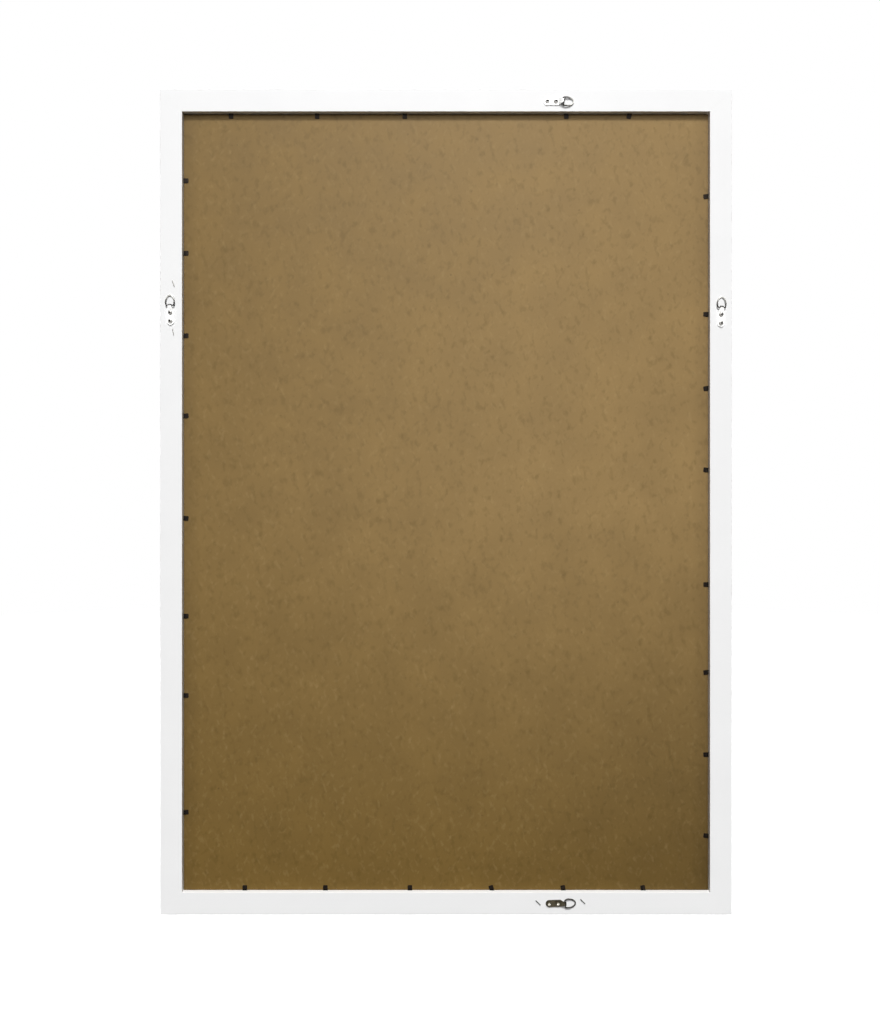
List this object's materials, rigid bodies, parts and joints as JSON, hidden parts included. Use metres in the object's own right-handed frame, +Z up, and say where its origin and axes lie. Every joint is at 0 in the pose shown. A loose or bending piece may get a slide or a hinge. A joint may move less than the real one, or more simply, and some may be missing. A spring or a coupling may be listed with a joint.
{
  "type": "poster frame",
  "caption": "Mitred white wooden poster frame with clear glazing, blank sheet and hardboard back held by bendable steel points, and swinging D-ring strap hangers on its rails.",
  "frame": {"origin": "on the plane of the rails' backs, midway between the places where hooks bear in the rings of the two side rails", "axes": "+Z up the upright frame; +Y out of its front; -Y out of its back, towards the wall; +X to the right as seen from the back"},
  "size_m": [0.7462, 0.0235, 1.0764],
  "materials": {
    "white_painted_wood": "satin white paint on wood moulding",
    "acrylic_sheet": "clear, polished",
    "blank_paper": "matt, unprinted",
    "hardboard": "brown pressed fibre, smooth side out",
    "blackened_steel": "black oxide, satin",
    "plated_strap": "plated, slightly dulled",
    "plated_wire": "plated wire",
    "screw_steel": "bright plated",
    "bare_steel": "bare wire and strip"
  },
  "bodies": {
    "frame": {"rail_top": "white_painted_wood", "rail_bottom": "white_painted_wood", "rail_left": "white_painted_wood", "rail_right": "white_painted_wood", "corner_nail_top_left": "bare_steel", "corner_nail_top_right": "bare_steel", "corner_nail_bottom_left": "bare_steel", "corner_nail_bottom_right": "bare_steel", "glazing": "acrylic_sheet", "poster_sheet": "blank_paper", "backing_board": "hardboard", "hanger_strap_top": "plated_strap", "hanger_strap_bottom": "plated_strap", "hanger_strap_left": "plated_strap", "hanger_strap_right": "plated_strap", "hanger_screw_top_1": "screw_steel", "hanger_screw_top_2": "screw_steel", "hanger_screw_bottom_1": "screw_steel", "hanger_screw_bottom_2": "screw_steel", "hanger_screw_left_1": "screw_steel", "hanger_screw_left_2": "screw_steel", "hanger_screw_right_1": "screw_steel", "hanger_screw_right_2": "screw_steel", "staple_bottom_1": "bare_steel", "staple_bottom_2": "bare_steel", "staple_left_1": "bare_steel", "staple_left_2": "bare_steel"},
    "point_top_1": {"point_top_1": "blackened_steel"},
    "point_top_2": {"point_top_2": "blackened_steel"},
    "point_top_3": {"point_top_3": "blackened_steel"},
    "point_top_4": {"point_top_4": "blackened_steel"},
    "point_top_5": {"point_top_5": "blackened_steel"},
    "point_bottom_1": {"point_bottom_1": "blackened_steel"},
    "point_bottom_2": {"point_bottom_2": "blackened_steel"},
    "point_bottom_3": {"point_bottom_3": "blackened_steel"},
    "point_bottom_4": {"point_bottom_4": "blackened_steel"},
    "point_bottom_5": {"point_bottom_5": "blackened_steel"},
    "point_bottom_6": {"point_bottom_6": "blackened_steel"},
    "point_left_1": {"point_left_1": "blackened_steel"},
    "point_left_2": {"point_left_2": "blackened_steel"},
    "point_left_3": {"point_left_3": "blackened_steel"},
    "point_left_4": {"point_left_4": "blackened_steel"},
    "point_left_5": {"point_left_5": "blackened_steel"},
    "point_left_6": {"point_left_6": "blackened_steel"},
    "point_left_7": {"point_left_7": "blackened_steel"},
    "point_left_8": {"point_left_8": "blackened_steel"},
    "point_right_1": {"point_right_1": "blackened_steel"},
    "point_right_2": {"point_right_2": "blackened_steel"},
    "point_right_3": {"point_right_3": "blackened_steel"},
    "point_right_4": {"point_right_4": "blackened_steel"},
    "point_right_5": {"point_right_5": "blackened_steel"},
    "point_right_6": {"point_right_6": "blackened_steel"},
    "point_right_7": {"point_right_7": "blackened_steel"},
    "point_right_8": {"point_right_8": "blackened_steel"},
    "ring_top": {"hanger_ring_top": "plated_wire"},
    "ring_bottom": {"hanger_ring_bottom": "plated_wire"},
    "ring_left": {"hanger_ring_left": "plated_wire"},
    "ring_right": {"hanger_ring_right": "plated_wire"}
  },
  "joints": [
    {"name": "point_top_1_bend", "type": "hinge", "parent": "frame", "child": "point_top_1", "pos_m": [-0.282, 0.0068, 0.24299], "axis": [-1, 0, 0], "range_deg": [0, 90]},
    {"name": "point_top_2_bend", "type": "hinge", "parent": "frame", "child": "point_top_2", "pos_m": [-0.169, 0.0068, 0.24299], "axis": [-1, 0, 0], "range_deg": [0, 90]},
    {"name": "point_top_3_bend", "type": "hinge", "parent": "frame", "child": "point_top_3", "pos_m": [-0.054, 0.0068, 0.24299], "axis": [-1, 0, 0], "range_deg": [0, 90]},
    {"name": "point_top_4_bend", "type": "hinge", "parent": "frame", "child": "point_top_4", "pos_m": [0.158, 0.0068, 0.24299], "axis": [-1, 0, 0], "range_deg": [0, 90]},
    {"name": "point_top_5_bend", "type": "hinge", "parent": "frame", "child": "point_top_5", "pos_m": [0.241, 0.0068, 0.24299], "axis": [-1, 0, 0], "range_deg": [0, 90]},
    {"name": "point_bottom_1_bend", "type": "hinge", "parent": "frame", "child": "point_bottom_1", "pos_m": [-0.264, 0.0068, -0.77499], "axis": [1, 0, 0], "range_deg": [0, 90]},
    {"name": "point_bottom_2_bend", "type": "hinge", "parent": "frame", "child": "point_bottom_2", "pos_m": [-0.1583, 0.0068, -0.77499], "axis": [1, 0, 0], "range_deg": [0, 90]},
    {"name": "point_bottom_3_bend", "type": "hinge", "parent": "frame", "child": "point_bottom_3", "pos_m": [-0.0473, 0.0068, -0.77499], "axis": [1, 0, 0], "range_deg": [0, 90]},
    {"name": "point_bottom_4_bend", "type": "hinge", "parent": "frame", "child": "point_bottom_4", "pos_m": [0.0602, 0.0068, -0.77499], "axis": [1, 0, 0], "range_deg": [0, 90]},
    {"name": "point_bottom_5_bend", "type": "hinge", "parent": "frame", "child": "point_bottom_5", "pos_m": [0.154, 0.0068, -0.77499], "axis": [1, 0, 0], "range_deg": [0, 90]},
    {"name": "point_bottom_6_bend", "type": "hinge", "parent": "frame", "child": "point_bottom_6", "pos_m": [0.259, 0.0068, -0.77499], "axis": [1, 0, 0], "range_deg": [0, 90]},
    {"name": "point_left_1_bend", "type": "hinge", "parent": "frame", "child": "point_left_1", "pos_m": [-0.34389, 0.0068, 0.1558], "axis": [0, 0, -1], "range_deg": [0, 90]},
    {"name": "point_left_2_bend", "type": "hinge", "parent": "frame", "child": "point_left_2", "pos_m": [-0.34389, 0.0068, 0.0607], "axis": [0, 0, -1], "range_deg": [0, 90]},
    {"name": "point_left_3_bend", "type": "hinge", "parent": "frame", "child": "point_left_3", "pos_m": [-0.34389, 0.0068, -0.0476], "axis": [0, 0, -1], "range_deg": [0, 90]},
    {"name": "point_left_4_bend", "type": "hinge", "parent": "frame", "child": "point_left_4", "pos_m": [-0.34389, 0.0068, -0.153], "axis": [0, 0, -1], "range_deg": [0, 90]},
    {"name": "point_left_5_bend", "type": "hinge", "parent": "frame", "child": "point_left_5", "pos_m": [-0.34389, 0.0068, -0.287], "axis": [0, 0, -1], "range_deg": [0, 90]},
    {"name": "point_left_6_bend", "type": "hinge", "parent": "frame", "child": "point_left_6", "pos_m": [-0.34389, 0.0068, -0.4156], "axis": [0, 0, -1], "range_deg": [0, 90]},
    {"name": "point_left_7_bend", "type": "hinge", "parent": "frame", "child": "point_left_7", "pos_m": [-0.34389, 0.0068, -0.5198], "axis": [0, 0, -1], "range_deg": [0, 90]},
    {"name": "point_left_8_bend", "type": "hinge", "parent": "frame", "child": "point_left_8", "pos_m": [-0.34389, 0.0068, -0.6732], "axis": [0, 0, -1], "range_deg": [0, 90]},
    {"name": "point_right_1_bend", "type": "hinge", "parent": "frame", "child": "point_right_1", "pos_m": [0.34389, 0.0068, 0.1354], "axis": [0, 0, 1], "range_deg": [0, 90]},
    {"name": "point_right_2_bend", "type": "hinge", "parent": "frame", "child": "point_right_2", "pos_m": [0.34389, 0.0068, -0.0195], "axis": [0, 0, 1], "range_deg": [0, 90]},
    {"name": "point_right_3_bend", "type": "hinge", "parent": "frame", "child": "point_right_3", "pos_m": [0.34389, 0.0068, -0.1165], "axis": [0, 0, 1], "range_deg": [0, 90]},
    {"name": "point_right_4_bend", "type": "hinge", "parent": "frame", "child": "point_right_4", "pos_m": [0.34389, 0.0068, -0.224], "axis": [0, 0, 1], "range_deg": [0, 90]},
    {"name": "point_right_5_bend", "type": "hinge", "parent": "frame", "child": "point_right_5", "pos_m": [0.34389, 0.0068, -0.3742], "axis": [0, 0, 1], "range_deg": [0, 90]},
    {"name": "point_right_6_bend", "type": "hinge", "parent": "frame", "child": "point_right_6", "pos_m": [0.34389, 0.0068, -0.4892], "axis": [0, 0, 1], "range_deg": [0, 90]},
    {"name": "point_right_7_bend", "type": "hinge", "parent": "frame", "child": "point_right_7", "pos_m": [0.34389, 0.0068, -0.5973], "axis": [0, 0, 1], "range_deg": [0, 90]},
    {"name": "point_right_8_bend", "type": "hinge", "parent": "frame", "child": "point_right_8", "pos_m": [0.34389, 0.0068, -0.7042], "axis": [0, 0, 1], "range_deg": [0, 90]},
    {"name": "ring_top_swing", "type": "hinge", "parent": "frame", "child": "ring_top", "pos_m": [0.15235, -0.00235, 0.25605], "axis": [-0.0087, 0, -1], "range_deg": [0, 175]},
    {"name": "ring_bottom_swing", "type": "hinge", "parent": "frame", "child": "ring_bottom", "pos_m": [0.15484, -0.00235, -0.78901], "axis": [0.0262, 0, -0.9997], "range_deg": [0, 175]},
    {"name": "ring_left_swing", "type": "hinge", "parent": "frame", "child": "ring_left", "pos_m": [-0.3597, -0.00235, -0.01015], "axis": [0.9998, 0, 0.0175], "range_deg": [0, 175]},
    {"name": "ring_right_swing", "type": "hinge", "parent": "frame", "child": "ring_right", "pos_m": [0.35901, -0.00235, -0.01266], "axis": [0.9997, 0, -0.0262], "range_deg": [0, 175]}
  ]
}
